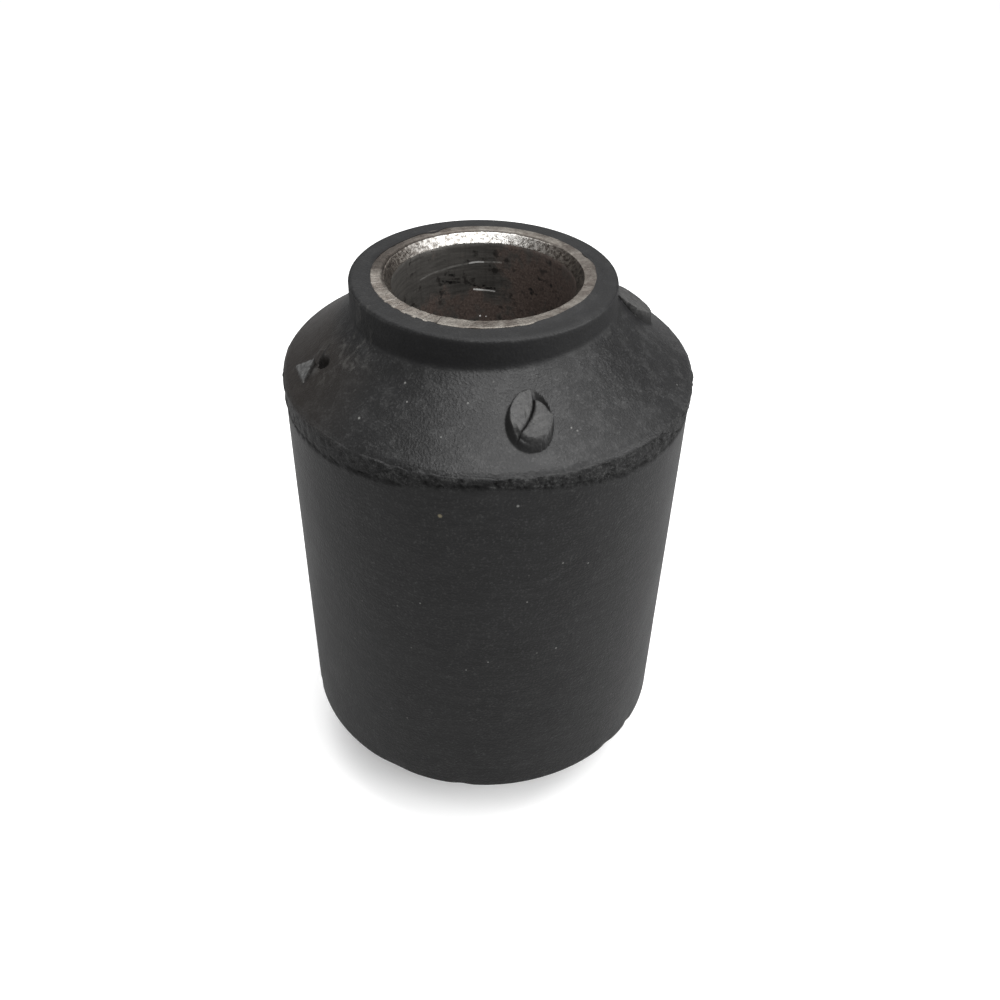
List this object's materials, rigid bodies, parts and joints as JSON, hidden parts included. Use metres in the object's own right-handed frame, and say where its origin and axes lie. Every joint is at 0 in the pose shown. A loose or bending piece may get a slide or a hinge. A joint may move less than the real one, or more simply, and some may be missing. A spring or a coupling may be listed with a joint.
{
  "type": "rubber metal bush",
  "caption": "Cylindrical rubber bush with conical shoulders and narrow collars, moulded onto a plain steel sleeve that is open right through.",
  "frame": {"origin": "middle of the bore, halfway between the two ends of the sleeve", "axes": "+Z along the bore towards the end with the gate stubs and the rough band, +X to the right and +Y away as the picture's camera sees it"},
  "size_m": [0.0688, 0.0688, 0.102],
  "materials": {
    "rubber": "matte moulded black rubber",
    "steel": "turned bare steel, lightly rusted in the bore"
  },
  "bodies": {
    "root": {"rubber_body": "rubber", "inner_sleeve": "steel"}
  },
  "joints": []
}
